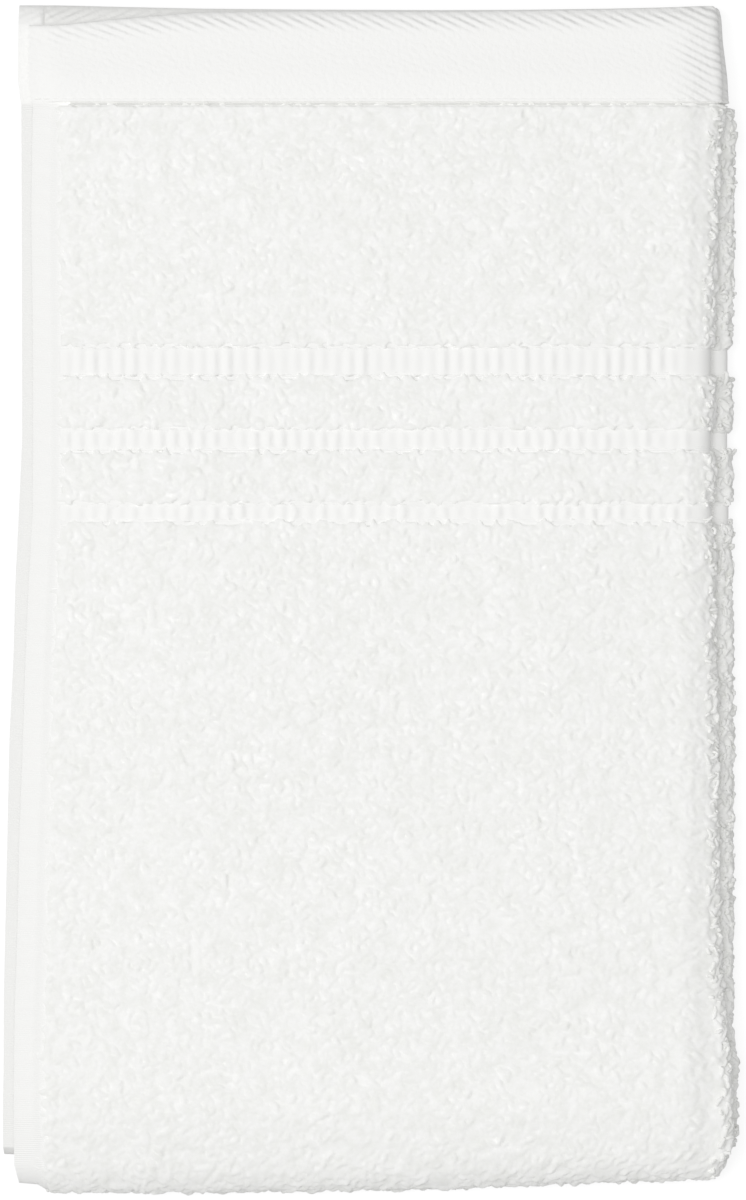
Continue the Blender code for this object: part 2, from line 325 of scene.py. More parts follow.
number, quads = numbers_and_quads(side_grid)
rim = np.concatenate([number[0, :-1], number[:-1, -1], number[-1, :0:-1], number[:0:-1, 0]])
after = np.roll(rim, -1)
back = number.size
rim_quads = np.stack([rim, after, after + back, rim + back], axis=-1)
faces = np.concatenate([quads, quads[:, ::-1] + back, rim_quads])
points = np.concatenate([outside.reshape(-1, 3), inside.reshape(-1, 3)])
flat = np.stack([side_grid.ravel(), end_grid.ravel()], axis=-1)
flat = np.concatenate([flat, flat])


def mesh_of(name, points, faces, facing=None):
    """A smooth mesh from points and a list of arrays of faces, each with its own number of corners.

    facing is a normal for each point, if the faces' own normals aren't used.
    """
    made = bpy.data.meshes.new(name)
    made.vertices.add(len(points))
    made.vertices.foreach_set("co", np.ascontiguousarray(points, dtype=np.float32).ravel())
    corners = np.concatenate([part.ravel() for part in faces])
    made.loops.add(len(corners))
    made.loops.foreach_set("vertex_index", corners.astype(np.int32))
    sizes = np.concatenate([np.full(len(part), part.shape[1]) for part in faces])
    made.polygons.add(len(sizes))
    made.polygons.foreach_set("loop_start", (np.cumsum(sizes) - sizes).astype(np.int32))
    made.update(calc_edges=True)
    made.validate()
    made.shade_smooth()
    if facing is not None:
        made.normals_split_custom_set_from_vertices(facing.astype(np.float32))
    return made


def new_piece(name, made):
    piece = bpy.data.objects.new(name, made)
    bpy.context.scene.collection.objects.link(piece)
    return piece


cloth = new_piece("towel_cloth", mesh_of("towel_cloth", points, [faces]))
cloth.data.set_sharp_from_angle(angle=math.radians(40.0))
weave = cloth.data.uv_layers.new(name="flat_towel")
corner_points = np.zeros(len(cloth.data.loops), dtype=np.int32)
cloth.data.loops.foreach_get("vertex_index", corner_points)
weave.data.foreach_set("uv", (flat[corner_points] * MM).astype(np.float32).ravel())


def colour(hex_value):
    """An sRGB hex value as the linear colour that a shader reads."""
    parts = [int(hex_value[i : i + 2], 16) / 255 for i in (1, 3, 5)]
    return tuple(c / 12.92 if c <= 0.04045 else ((c + 0.055) / 1.055) ** 2.4 for c in parts) + (1.0,)


def add_node(material, kind, inputs=(), **settings):
    """Adds a node to a material, with its settings, and its inputs as numbers or as other sockets."""
    made = material.node_tree.nodes.new(kind)
    for name, value in settings.items():
        setattr(made, name, value)
    for name, value in dict(inputs).items():
        if isinstance(value, bpy.types.NodeSocket):
            material.node_tree.links.new(value, made.inputs[name])
        else:
            made.inputs[name].default_value = value
    return made


def new_cotton(name, base, roughness):
    """A matt cotton, with next to no gloss."""
    material = bpy.data.materials.new(name)
    material.use_nodes = True
    shader = material.node_tree.nodes["Principled BSDF"]
    shader.inputs["Base Color"].default_value = colour(base)
    shader.inputs["Roughness"].default_value = roughness
    shader.inputs["Specular IOR Level"].default_value = 0.2
    return material, shader


# Terry ground: bleached cotton, closely woven, with the feet of the loops 1.5 mm apart. Its grey
# colour is painted shade: little light gets down to it, so that it shows as a thin dark line where
# the pile ends beside the hem.
terry_ground_painted_shade, shader = new_cotton("cotton_terry_ground", "#C2C2BF", 0.95)
seat = add_node(terry_ground_painted_shade, "ShaderNodeTexCoord")
curls = add_node(
    terry_ground_painted_shade,
    "ShaderNodeTexVoronoi",
    {"Vector": seat.outputs["Object"], "Scale": 1.0 / (1.5 * MM)},
    feature="SMOOTH_F1",
)
bump = add_node(
    terry_ground_painted_shade,
    "ShaderNodeBump",
    {"Strength": 0.5, "Distance": 0.5 * MM, "Height": curls.outputs["Distance"]},
)
terry_ground_painted_shade.node_tree.links.new(bump.outputs["Normal"], shader.inputs["Normal"])

# Hem: the ground cloth without pile, woven as a twill whose ribs run at 29 degrees, 2.16 mm apart.
# They catch the light as fine slanting lines.
TWILL_PITCH, TWILL_ANGLE = 2.16, math.radians(29.0)
hem_twill, shader = new_cotton("cotton_hem_twill", "#FBFBF8", 0.85)
seat = add_node(hem_twill, "ShaderNodeUVMap", uv_map="flat_towel")
across_ribs = add_node(
    hem_twill,
    "ShaderNodeVectorMath",
    {0: seat.outputs["UV"], 1: [math.sin(TWILL_ANGLE), -math.cos(TWILL_ANGLE), 0.0]},
    operation="DOT_PRODUCT",
)
phase = add_node(
    hem_twill,
    "ShaderNodeMath",
    {0: across_ribs.outputs["Value"], 1: 2 * math.pi / (TWILL_PITCH * MM)},
    operation="MULTIPLY",
)
ribs = add_node(hem_twill, "ShaderNodeMath", {0: phase.outputs["Value"]}, operation="SINE")
# The hem is pressed smooth, and its ribs stand out only near its edge and at the lengthwise fold, and
# less at the selvedge.
parts = add_node(hem_twill, "ShaderNodeSeparateXYZ", {"Vector": seat.outputs["UV"]})
from_edge = add_node(
    hem_twill, "ShaderNodeMath", {0: parts.outputs["Y"], 1: TOWEL_LENGTH / 2 * MM}, operation="PINGPONG"
)
from_side = add_node(
    hem_twill, "ShaderNodeMath", {0: parts.outputs["X"], 1: TOWEL_WIDTH / 2 * MM}, operation="PINGPONG"
)
at_edge = add_node(
    hem_twill,
    "ShaderNodeMapRange",
    {
        "Value": from_edge.outputs["Value"],
        "From Min": 3.0 * MM,
        "From Max": 7.5 * MM,
        "To Min": 1.0,
        "To Max": 0.06,
    },
    interpolation_type="SMOOTHSTEP",
)
off_corner = add_node(
    hem_twill,
    "ShaderNodeMapRange",
    {"Value": from_side.outputs["Value"], "From Min": 6.0 * MM, "From Max": 9.0 * MM, "To Min": 0.3},
)
at_fold = add_node(
    hem_twill,
    "ShaderNodeMapRange",
    {"Value": from_side.outputs["Value"], "From Min": 184.0 * MM, "From Max": 198.0 * MM, "To Min": 0.06},
    interpolation_type="SMOOTHSTEP",
)
on_edge = add_node(
    hem_twill,
    "ShaderNodeMapRange",
    {"Value": from_edge.outputs["Value"], "From Min": 1.0 * MM, "From Max": 3.0 * MM, "To Min": 0.25},
)
shown = at_edge.outputs["Result"]
for other, how in ((on_edge, "MINIMUM"), (off_corner, "MULTIPLY"), (at_fold, "MAXIMUM")):
    shown = add_node(
        hem_twill, "ShaderNodeMath", {0: shown, 1: other.outputs["Result"]}, operation=how
    ).outputs["Value"]
relief = add_node(hem_twill, "ShaderNodeMath", {0: ribs.outputs["Value"], 1: shown}, operation="MULTIPLY")
uneven = add_node(
    hem_twill,
    "ShaderNodeTexNoise",
    {"Vector": seat.outputs["UV"], "Scale": 1.0 / (7.0 * MM), "Detail": 2.0},
)
relief = add_node(
    hem_twill,
    "ShaderNodeMath",
    {0: relief.outputs["Value"], 1: uneven.outputs["Fac"]},
    operation="MULTIPLY",
)
# The grain of the threads between the ribs is finer: it is drawn 1.6 mm wide so that it shows.
grain = add_node(
    hem_twill,
    "ShaderNodeTexNoise",
    {"Vector": seat.outputs["UV"], "Scale": 1.0 / (1.6 * MM), "Detail": 2.0},
)
relief = add_node(
    hem_twill,
    "ShaderNodeMath",
    {0: grain.outputs["Fac"], 1: 1.0, 2: relief.outputs["Value"]},
    operation="MULTIPLY_ADD",
)
bump = add_node(
    hem_twill, "ShaderNodeBump", {"Strength": 1.0, "Distance": 0.32 * MM, "Height": relief.outputs["Value"]}
)
hem_twill.node_tree.links.new(bump.outputs["Normal"], shader.inputs["Normal"])

# Selvedges and stripes: a flat, closely beaten rep, with its cross threads 0.6 mm apart, that looks
# smooth beside the pile.
flat_rep, shader = new_cotton("cotton_flat_rep", "#F8F8F5", 0.85)
seat = add_node(flat_rep, "ShaderNodeUVMap", uv_map="flat_towel")
parts = add_node(flat_rep, "ShaderNodeSeparateXYZ", {"Vector": seat.outputs["UV"]})
phase = add_node(
    flat_rep, "ShaderNodeMath", {0: parts.outputs["Y"], 1: 2 * math.pi / (0.6 * MM)}, operation="MULTIPLY"
)
threads = add_node(flat_rep, "ShaderNodeMath", {0: phase.outputs["Value"]}, operation="SINE")
bump = add_node(
    flat_rep, "ShaderNodeBump", {"Strength": 1.0, "Distance": 0.04 * MM, "Height": threads.outputs["Value"]}
)
flat_rep.node_tree.links.new(bump.outputs["Normal"], shader.inputs["Normal"])

# On the towel's back the hem and selvedge are drawn a little greyer. This is painted shade, for the
# second layer's strips that show beside the top layer's edges.
SHADED_GROUND, HEM_FRONT, REP_FRONT, HEM_BACK_PAINTED_SHADE, REP_BACK_PAINTED_SHADE, YARN = range(6)
for material in (terry_ground_painted_shade, hem_twill, flat_rep):
    cloth.data.materials.append(material)
# The copies' greyer base colours are painted shade.
for front, base in ((hem_twill, "#EFEFEB"), (flat_rep, "#F1F1EE")):
    back = front.copy()
    back.name = front.name + "_back"
    back.node_tree.nodes["Principled BSDF"].inputs["Base Color"].default_value = colour(base)
    cloth.data.materials.append(back)
# The rep goes on for a little under the edges of the pile, so that no ground, grey with painted
# shade, shows beside it, and within 7 mm of the selvedge the hem is alike on both faces.
centre = flat[faces].mean(axis=1)
centre_side = np.minimum(centre[:, 0], TOWEL_WIDTH - centre[:, 0])
centre_end = np.minimum(centre[:, 1], TOWEL_LENGTH - centre[:, 1])
# Faces left in the ground's zone get its grey, which is painted shade.
zone = np.full(len(faces), SHADED_GROUND, dtype=np.int32)
zone[centre_side < PILE_START + 3.0] = REP_FRONT
for start, stop in STRIPES:
    zone[(centre_end > start - 2.0) & (centre_end < stop + 2.0)] = REP_FRONT
zone[centre_end < HEM_DEPTH] = HEM_FRONT
is_back = np.arange(len(faces)) >= len(quads)
# Painted shade: the back's hem and rep take the greyer copies.
zone[(zone == HEM_FRONT) & is_back & (centre_side > 7.0)] = HEM_BACK_PAINTED_SHADE
zone[(zone == REP_FRONT) & is_back] = REP_BACK_PAINTED_SHADE
# Where the pile is pressed flat, below and inside, the cloth's own faces have the pile's yarn, which
# the next section makes and adds.
pressed_flat = is_back | (under_towel(centre[:, 0], centre[:, 1]) > 0.1)
zone[(zone == SHADED_GROUND) & pressed_flat] = YARN
cloth.data.polygons.foreach_set("material_index", zone)

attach(cloth, "root")
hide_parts("towel")

# --- The pile -------------------------------------------------------------------------------------
# Loops of soft two-ply cotton yarn, 2.6 mm high, that stand all over the cloth except on the hems,
# selvedges and stripes. Washing has turned and leaned them every way, so that they lie as curls.

YARN_RADIUS = 0.6
LOOP_ROOT = 0.8
LOOP_SOFTNESS = 0.3
FACE_SOFTNESS = 0.66
TUFT = 5.0
TUFT_LEAN, LOOP_LEAN, NAP = 0.6, 0.4, 0.2

for piece in bpy.context.selected_objects:
    piece.select_set(False)
bpy.ops.mesh.primitive_torus_add(major_radius=1.0, minor_radius=0.25, major_segments=10, minor_segments=5)
loop_form = bpy.context.object
loop_form.name = "loop_form"
bpy.ops.object.mode_set(mode="EDIT")
bpy.ops.mesh.select_all(action="SELECT")
bpy.ops.mesh.bisect(plane_co=(0.0, 0.0, 0.0), plane_no=(0.0, 1.0, 0.0), clear_inner=True, use_fill=True)
bpy.ops.mesh.select_all(action="SELECT")
bpy.ops.mesh.quads_convert_to_tris()
bpy.ops.object.mode_set(mode="OBJECT")
form = np.array([vertex.co[:] for vertex in loop_form.data.vertices])
form_faces = np.array([face.vertices[:] for face in loop_form.data.polygons])
bpy.data.objects.remove(loop_form, do_unlink=True)
form_meets = np.zeros((len(form), len(form_faces)))
form_meets[form_faces, np.arange(len(form_faces))[:, None]] = 1.0

# The form lies in the ring's plane: its angle along the arch, and how far a point is from the yarn's
# middle. The yarn is turned half round, so that one of its three sides is on top.
form_angle = np.arctan2(form[:, 1], form[:, 0])
form_out = (1.0 - np.hypot(form[:, 0], form[:, 1])) / 0.25
form_aside = -form[:, 2] / 0.25

chance = np.random.default_rng(11)


def scatter(side_from, side_to, side_step, end_from, end_to, end_step):
    """Places on the flat towel, on a loose grid."""
    side_count = max(1, round((side_to - side_from) / side_step))
    end_count = max(1, round((end_to - end_from) / end_step))
    side_step, end_step = (side_to - side_from) / side_count, (end_to - end_from) / end_count
    i, j = np.meshgrid(np.arange(side_count), np.arange(end_count))
    side = side_from + (i + chance.uniform(-0.1, 1.1, i.shape)) * side_step
    end = end_from + (j + chance.uniform(-0.1, 1.1, j.shape)) * end_step
    side, end = side.ravel(), end.ravel()
    from_hem = np.minimum(end, TOWEL_LENGTH - end)
    keep = np.minimum(side, TOWEL_WIDTH - side) > 6.5
    for start, stop in STRIPES:
        keep &= (from_hem < start - 0.2) | (from_hem > stop + 0.2)
    return np.stack([side[keep], end[keep]], axis=-1)


def softened(own, up, softness):
    """Normals turned a share of the way towards the cloth's own, as hairs round the yarn scatter light."""
    agree = np.clip(np.sum(own * up, axis=-1, keepdims=True), 0.0, 1.0)
    facing = mix(own, up, softness * agree)
    return facing / np.linalg.norm(facing, axis=-1, keepdims=True)


def loops_at(places, proud):
    """Loops at places on the flat towel: each stands on the cloth there, turned and leaned by chance."""
    side, end = places[:, 0], places[:, 1]
    bed = cloth_height(side, end, True)
    foot = folded(side, end, bed - LOOP_ROOT)
    across = folded(side + 0.1, end, bed - LOOP_ROOT) - foot
    across /= np.linalg.norm(across, axis=-1, keepdims=True)
    up = folded(side, end, bed + 0.2) - foot
    up -= across * np.sum(up * across, axis=-1, keepdims=True)
    up /= np.linalg.norm(up, axis=-1, keepdims=True)
    down = np.cross(across, up)

    count = len(places)
    yarn = YARN_RADIUS * chance.uniform(0.85, 1.15, count)
    tip = PILE_TIPS + proud - 0.6 * yarn - bed + LOOP_ROOT
    tip = tip + 0.25 * patches(side, end, TUFT, 3) + chance.normal(0.0, 0.2, count)
    tip = np.maximum(tip, 0.5)
    width = chance.uniform(0.7, 1.4, count)
    bow = chance.normal(0.0, 0.5, count)
    skew = chance.normal(0.0, 0.3, count)
    turn = chance.uniform(0.0, 2 * math.pi, count)
    lean_across = TUFT_LEAN * patches(side, end, TUFT, 4) + chance.normal(0.0, LOOP_LEAN, count)
    lean_down = NAP + TUFT_LEAN * patches(side, end, TUFT, 5) + chance.normal(0.0, LOOP_LEAN, count)

    angle = form_angle[None, :]
    rise = np.maximum(np.sin(angle), 0.0)
    x = width[:, None] * np.cos(angle) + skew[:, None] * np.sin(2 * angle)
    y = bow[:, None] * rise**1.5
    z = tip[:, None] * rise**0.6
    thick = yarn[:, None] * (0.4 + 0.6 * np.sqrt(np.maximum(rise, 0.0)))
    x = x + thick * form_out * np.cos(angle)
    z = z + thick * form_out * rise
    y = y + thick * form_aside
    cos_turn, sin_turn = np.cos(turn)[:, None], np.sin(turn)[:, None]

    def to_towel(x, y, z):
        """From a loop's own directions to the towel's: x along the loop, y aside and z up."""
        return (
            (x * cos_turn - y * sin_turn)[..., None] * across[:, None, :]
            + (x * sin_turn + y * cos_turn)[..., None] * down[:, None, :]
            + z[..., None] * up[:, None, :]
        )

    lean = lean_across[:, None] * across + lean_down[:, None] * down
    leaned = (tip[:, None] * rise)[..., None] * lean[:, None, :]
    made = foot[:, None, :] + MM * (to_towel(x, y, z) + leaned)
    made[..., 2] = np.maximum(made[..., 2], 0.0)
    corner = made[:, form_faces]
    face_out = np.cross(corner[:, :, 1] - corner[:, :, 0], corner[:, :, 2] - corner[:, :, 0])
    own = np.einsum("vf,cfk->cvk", form_meets, face_out)
    own /= np.maximum(np.linalg.norm(own, axis=-1, keepdims=True), 1e-15)
    facing = softened(own, up[:, None, :], LOOP_SOFTNESS)
    offset = np.arange(count)[:, None, None] * len(form)
    return made.reshape(-1, 3), [(form_faces[None] + offset).reshape(-1, 3)], facing.reshape(-1, 3)


# Terry yarn: combed cotton, softly twisted, so that a loop is matt with fine hair on it. The hairs
# are drawn 0.4 mm wide, coarser than real ones, so that they show.
terry_yarn, shader = new_cotton("cotton_terry_yarn", "#FBFBF7", 0.95)
seat = add_node(terry_yarn, "ShaderNodeTexCoord")
hairs = add_node(
    terry_yarn,
    "ShaderNodeTexNoise",
    {"Vector": seat.outputs["Object"], "Scale": 1.0 / (0.4 * MM), "Detail": 2.0},
)
bump = add_node(
    terry_yarn, "ShaderNodeBump", {"Strength": 0.5, "Distance": 0.1 * MM, "Height": hairs.outputs["Fac"]}
)
# Tufts whose yarn points another way look a little lighter or darker.
tufts = add_node(
    terry_yarn,
    "ShaderNodeTexNoise",
    {"Vector": seat.outputs["Object"], "Scale": 1.0 / (4.0 * MM), "Detail": 3.0, "Roughness": 0.7},
)
shades = add_node(terry_yarn, "ShaderNodeValToRGB", {"Fac": tufts.outputs["Fac"]})
for stop, place, shade in zip(shades.color_ramp.elements, (0.3, 0.7), ("#ECEDE7", "#FCFCFA")):
    stop.position, stop.color = place, colour(shade)
terry_yarn.node_tree.links.new(shades.outputs["Color"], shader.inputs["Base Color"])
terry_yarn.node_tree.links.new(bump.outputs["Normal"], shader.inputs["Normal"])

# The face of the pile is curls of yarn that lie over each other. It is drawn on a fine grid, as the
# height that the highest curl has at each place, and every other line of the grid becomes a mesh line.
CURL_STEP = 0.24
CURL_RADIUS = 0.62
CURL_SPACING = 1.75
CURL_LOW = 2.1
FACE_ENDS_AT = 0.3
UNDERSIDE = 0.1
ROUND_FOLD = (FOLD_RADIUS + PILE_TIPS) / FOLD_RADIUS


def on_face(side):
    """How far round the pile's face a place is: round the fold the face is longer than the cloth."""
    return side + np.clip(side - STRAIGHT, 0.0, ARCH) * (ROUND_FOLD - 1.0)


def curled(face_sides, face_ends):
    """Heights of the highest curl over a grid."""
    heights = np.zeros((len(face_ends), len(face_sides)))
    side_count = round((face_sides[-1] - face_sides[0]) / CURL_SPACING)
    end_count = round((face_ends[-1] - face_ends[0]) / CURL_SPACING)
    i, j = np.meshgrid(np.arange(side_count), np.arange(end_count))
    side = (face_sides[0] + (i + chance.uniform(-0.1, 1.1, i.shape)) * CURL_SPACING).ravel()
    end = (face_ends[0] + (j + chance.uniform(-0.1, 1.1, j.shape)) * CURL_SPACING).ravel()
    # Small places without curls leave pits, and a few curls stand higher than the rest.
    keep = patches(side, end, 3.0, 6) < 0.55
    side, end = side[keep], end[keep]
    count = len(side)
    heading = chance.uniform(0.0, 2 * math.pi, count)
    length = chance.uniform(1.8, 3.8, count)
    curve = chance.normal(0.0, 0.25, count)
    crown = 0.75 + 0.25 * patches(side, end, TUFT, 3) + chance.normal(0.0, 0.13, count)
    crown = crown + np.where(chance.uniform(0.0, 1.0, count) < 0.07, 0.4, 0.0)
    for share in np.linspace(-1.0, 1.0, 25):
        run = share * length / 2
        aside = curve * run * run
        run_side = side + run * np.cos(heading) - aside * np.sin(heading)
        run_end = end + run * np.sin(heading) + aside * np.cos(heading)
        height = crown * math.sqrt(max(0.0, 1.0 - share * share)) ** 0.6
        i = np.floor((run_end - face_ends[0]) / CURL_STEP).astype(int)
        j = np.floor((run_side - face_sides[0]) / CURL_STEP).astype(int)
        for di in range(-2, 4):
            for dj in range(-2, 4):
                row, column = i + di, j + dj
                ok = (row >= 0) & (row < len(face_ends)) & (column >= 0) & (column < len(face_sides))
                row, column = row[ok], column[ok]
                away = (face_ends[row] - run_end[ok]) ** 2 + (face_sides[column] - run_side[ok]) ** 2
                round_top = np.sqrt(np.maximum(CURL_RADIUS**2 - away, 0.0)) - CURL_RADIUS
                value = np.where(away < CURL_RADIUS**2, height[ok] + round_top, 0.0)
                np.maximum.at(heights, (row, column), value)
    for _ in range(2):
        heights[1:-1] = (heights[:-2] + 2 * heights[1:-1] + heights[2:]) / 4
        heights[:, 1:-1] = (heights[:, :-2] + 2 * heights[:, 1:-1] + heights[:, 2:]) / 4
    return heights[::2, ::2]


def facing_of(points):
    """Normals of a grid of points."""
    facing = np.cross(np.gradient(points, axis=0), np.gradient(points, axis=1))
    return facing / np.maximum(np.linalg.norm(facing, axis=-1, keepdims=True), 1e-12)


def pile_face(face_sides, face_ends, heights):
    """Points and normals of the pile's face, and points under it.

    It dips into the cloth at the hem, selvedge and stripes, and where it ends.
    """
    face_side, end = np.meshgrid(face_sides, face_ends)
    known = np.array([0.0, STRAIGHT, STRAIGHT + ARCH, TOWEL_WIDTH])
    side = np.interp(face_side, on_face(known), known)
    from_hem = np.minimum(end, TOWEL_LENGTH - end)
    # The folds spread the curls apart, so that they stand up more and their borders are looser.
    spread = soft_step(side, STRAIGHT, STRAIGHT + 0.3 * ARCH)
    spread = spread * (1.0 - soft_step(side, STRAIGHT + ARCH, STRAIGHT + ARCH + 2.0))
    crosswise = soft_step(end, BEND_AT - 10.0, BEND_AT + 2.0) * (end < BEND_AT + BEND_LENGTH)
    spread = np.maximum(spread, 0.4 * crosswise)
    ragged = 0.8 * patches(side, end, 1.6, 7) * (1.0 + 0.4 * spread)
    up = soft_step(side + 2.0 * ragged, PILE_START - 1.4, PILE_START + 1.4)
    up = up * soft_step(from_hem + 0.5 * ragged, HEM_DEPTH + 0.7, HEM_DEPTH + 1.1)
    for start, stop in STRIPES:
        upper = soft_step(from_hem + 1.3 * ragged, start - 0.9, start + 0.5)
        up = up * (1.0 - upper * (1.0 - soft_step(from_hem - 1.7 * ragged, stop - 0.5, stop + 0.9)))
    if face_ends[0] > TOWEL_LENGTH / 2:
        up = up * soft_step(side, STRAIGHT + 0.12 * ARCH, STRAIGHT + 0.25 * ARCH)
        up = up * soft_step(end, BEND_AT + BEND_LENGTH, BEND_AT + BEND_LENGTH + 2.0)
        # Past the fold the pile lies pressed between the layers.
        heights = mix(heights, -0.45, soft_step(side, STRAIGHT + ARCH + 2.0, STRAIGHT + ARCH + 7.0))
    else:
        up = up * (1.0 - soft_step(side, STRAIGHT + 0.82 * ARCH, STRAIGHT + 0.92 * ARCH))
        up = up * (1.0 - soft_step(end, BEND_AT + 0.85 * BEND_LENGTH, BEND_AT + 0.94 * BEND_LENGTH))
    points = folded(side, end, mix(FACE_ENDS_AT, CURL_LOW + heights * mix(1.0, 1.6, spread), up))
    smooth = folded(side, end, np.full_like(side, CURL_LOW))
    softness = FACE_SOFTNESS * (1.0 - 0.8 * spread[..., None])
    facing = softened(facing_of(points), facing_of(smooth), softness)
    return points, facing, folded(side, end, UNDERSIDE)


def pile_piece(name, points, facing, low):
    """A piece of the pile's face, which a plain underside inside the cloth closes."""
    points = np.concatenate([low[:1], points, low[-1:]])
    facing = np.concatenate([facing[:1], facing, facing[-1:]])
    number, quads = numbers_and_quads(points[..., 0])
    under = np.stack([number[:-1, 0], number[:-1, -1], number[1:, -1], number[1:, 0]], axis=-1)
    start, stop = number[0], number[-1]
    start_cap = np.stack([np.full_like(start[2:], start[0]), start[1:-1], start[2:]], axis=-1)
    stop_cap = np.stack([np.full_like(stop[2:], stop[0]), stop[2:], stop[1:-1]], axis=-1)
    faces = [quads, under, start_cap, stop_cap]
    return new_piece(name, mesh_of(name, points.reshape(-1, 3), faces, facing.reshape(-1, 3)))


face_sides = np.arange(PILE_START - 2.0, on_face(STRAIGHT + 0.92 * ARCH), CURL_STEP)
face_ends = np.arange(HEM_DEPTH + 0.2, BEND_AT + 0.94 * BEND_LENGTH, CURL_STEP)
heights = curled(face_sides, face_ends)
face_ends = face_ends[::2]
points, facing, low = pile_face(face_sides[::2], face_ends, heights)
pile_pieces = []
# Each piece's name, and where it starts and ends along the flat towel.
FACES_UP = (
    ("pile_by_hem", 0.0, 106.0),
    ("pile_in_border", 106.0, 184.0),
    ("pile_below_border", 184.0, 262.0),
    ("pile_by_crosswise_fold", 262.0, 400.0),
)
for name, end_from, end_to in FACES_UP:
    first, last = np.searchsorted(face_ends, (end_from, end_to))
    rows = slice(max(first - 1, 0), last)
    pile_pieces.append(pile_piece(name, points[rows], facing[rows], low[rows]))

face_sides = np.arange(on_face(STRAIGHT + 0.12 * ARCH), on_face(STRAIGHT + ARCH + 8.0), CURL_STEP)
face_ends = np.arange(BEND_AT + BEND_LENGTH, TOWEL_LENGTH - HEM_DEPTH - 0.6, CURL_STEP)
heights = curled(face_sides, face_ends)
pile_pieces.append(pile_piece("pile_of_lower_fold", *pile_face(face_sides[::2], face_ends[::2], heights)))

# Free loops stand up from the face round the lengthwise fold.
LOOP_SPACING = 2.5
lower_ends = (BEND_AT + BEND_LENGTH, TOWEL_LENGTH - HEM_DEPTH - 1.8)
around_folds = np.concatenate([
    scatter(STRAIGHT + 0.1 * ARCH, STRAIGHT + 0.5 * ARCH, ARCH / 5, HEM_DEPTH + 1.8, BEND_AT, LOOP_SPACING),
    scatter(STRAIGHT + 0.3 * ARCH, STRAIGHT + ARCH, ARCH / 6, *lower_ends, LOOP_SPACING),
    scatter(STRAIGHT, STRAIGHT + ARCH, ARCH / 5, BEND_AT, BEND_AT + 0.6 * BEND_LENGTH, LOOP_SPACING),
])
loops = mesh_of("loops_round_folds", *loops_at(around_folds, 0.1))
pile_pieces.append(new_piece("loops_round_folds", loops))

for piece in (cloth, *pile_pieces):
    piece.data.materials.append(terry_yarn)
for piece in pile_pieces:
    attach(piece, "root")

# --- The border's ribs ----------------------------------------------------------------------------
# In each flat stripe the ground threads are drawn together into short round ribs, 4.05 mm apart,
# that run the towel's way, as on a dobby border. Some are fuller than others.

RIB_PITCH = 4.05
RIB_RISE = 0.65

rib_count = int((TOWEL_WIDTH - 2 * PILE_START) / RIB_PITCH)
rib_places = PILE_START + np.arange(10 * rib_count + 1) * RIB_PITCH / 10
rib_points, rib_quads = [], []
for start, stop in STRIPES:
    for first, last in ((start, stop), (TOWEL_LENGTH - stop, TOWEL_LENGTH - start)):
        side, end = np.meshgrid(rib_places, np.linspace(first - 0.6, last + 0.6, 8))
        wave = 0.5 - 0.5 * np.cos((side - PILE_START) * 2 * math.pi / RIB_PITCH)
        which = np.round((side - PILE_START) / RIB_PITCH - 0.5).astype(int)
        full = chance.uniform(0.3, 1.2, rib_count + 1)[which]
        near_fold = soft_step(side, STRAIGHT - 9.0, STRAIGHT)
        near_fold = near_fold * (1.0 - soft_step(side, STRAIGHT + ARCH, STRAIGHT + ARCH + 9.0))
        uneven = 0.7 * patches(side, end, 2.5, 8)
        inside = soft_step(end + uneven, first - 0.4, first + 1.4)
        inside = inside * soft_step(uneven - end, -last - 0.4, -last + 1.4)
        rise = RIB_RISE * full * wave * (1.0 - 0.85 * near_fold)
        made = folded(side, end, STRIPE_GROUND - 0.15 + 0.2 * np.sqrt(inside) + inside * rise)
        made[..., 2] = np.maximum(made[..., 2], 0.0)
        number, quads = numbers_and_quads(side)
        under = np.stack([number[0, :-1], number[0, 1:], number[-1, 1:], number[-1, :-1]], axis=-1)
        a, b = number[:, 0], number[::-1, -1]
        caps = [np.stack([v[7:4:-1], v[6:3:-1], v[1:4], v[0:3]], axis=-1) for v in (a, b)]
        rib_quads.append(np.concatenate([quads, under, *caps]) + sum(len(p) for p in rib_points))
        rib_points.append(made.reshape(-1, 3))
ribs_piece = new_piece("border_ribs", mesh_of("border_ribs", np.concatenate(rib_points), rib_quads))
ribs_piece.data.materials.append(flat_rep)
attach(ribs_piece, "root")

# --- The hems' stitching --------------------------------------------------------------------------
# Each hem is sewn down with a lockstitch of white cotton thread, close to its inner edge. There is a
# stitch every 2.6 mm, and it pulls a little into the cloth.

STITCH_PITCH = 2.6
STITCH_AT = 27.5
STITCH_HALF_LENGTH, STITCH_RADIUS, STITCH_LIFT = 1.05, 0.22, 1.32
bpy.ops.mesh.primitive_uv_sphere_add(segments=8, ring_count=6, radius=1.0)
stitch_form = bpy.context.object
bpy.ops.object.mode_set(mode="EDIT")
bpy.ops.mesh.select_all(action="SELECT")
bpy.ops.mesh.quads_convert_to_tris()
bpy.ops.object.mode_set(mode="OBJECT")
stitch = np.array([vertex.co[:] for vertex in stitch_form.data.vertices])
stitch_faces = np.array([face.vertices[:] for face in stitch_form.data.polygons])
bpy.data.objects.remove(stitch_form, do_unlink=True)
# Blender hands these triangles over in a different order each run, so they get a fixed one.
first = stitch_faces.argmin(axis=1)[:, None]
stitch_faces = np.take_along_axis(stitch_faces, (first + np.arange(3)) % 3, axis=1)
stitch_faces = stitch_faces[np.lexsort(stitch_faces.T)]

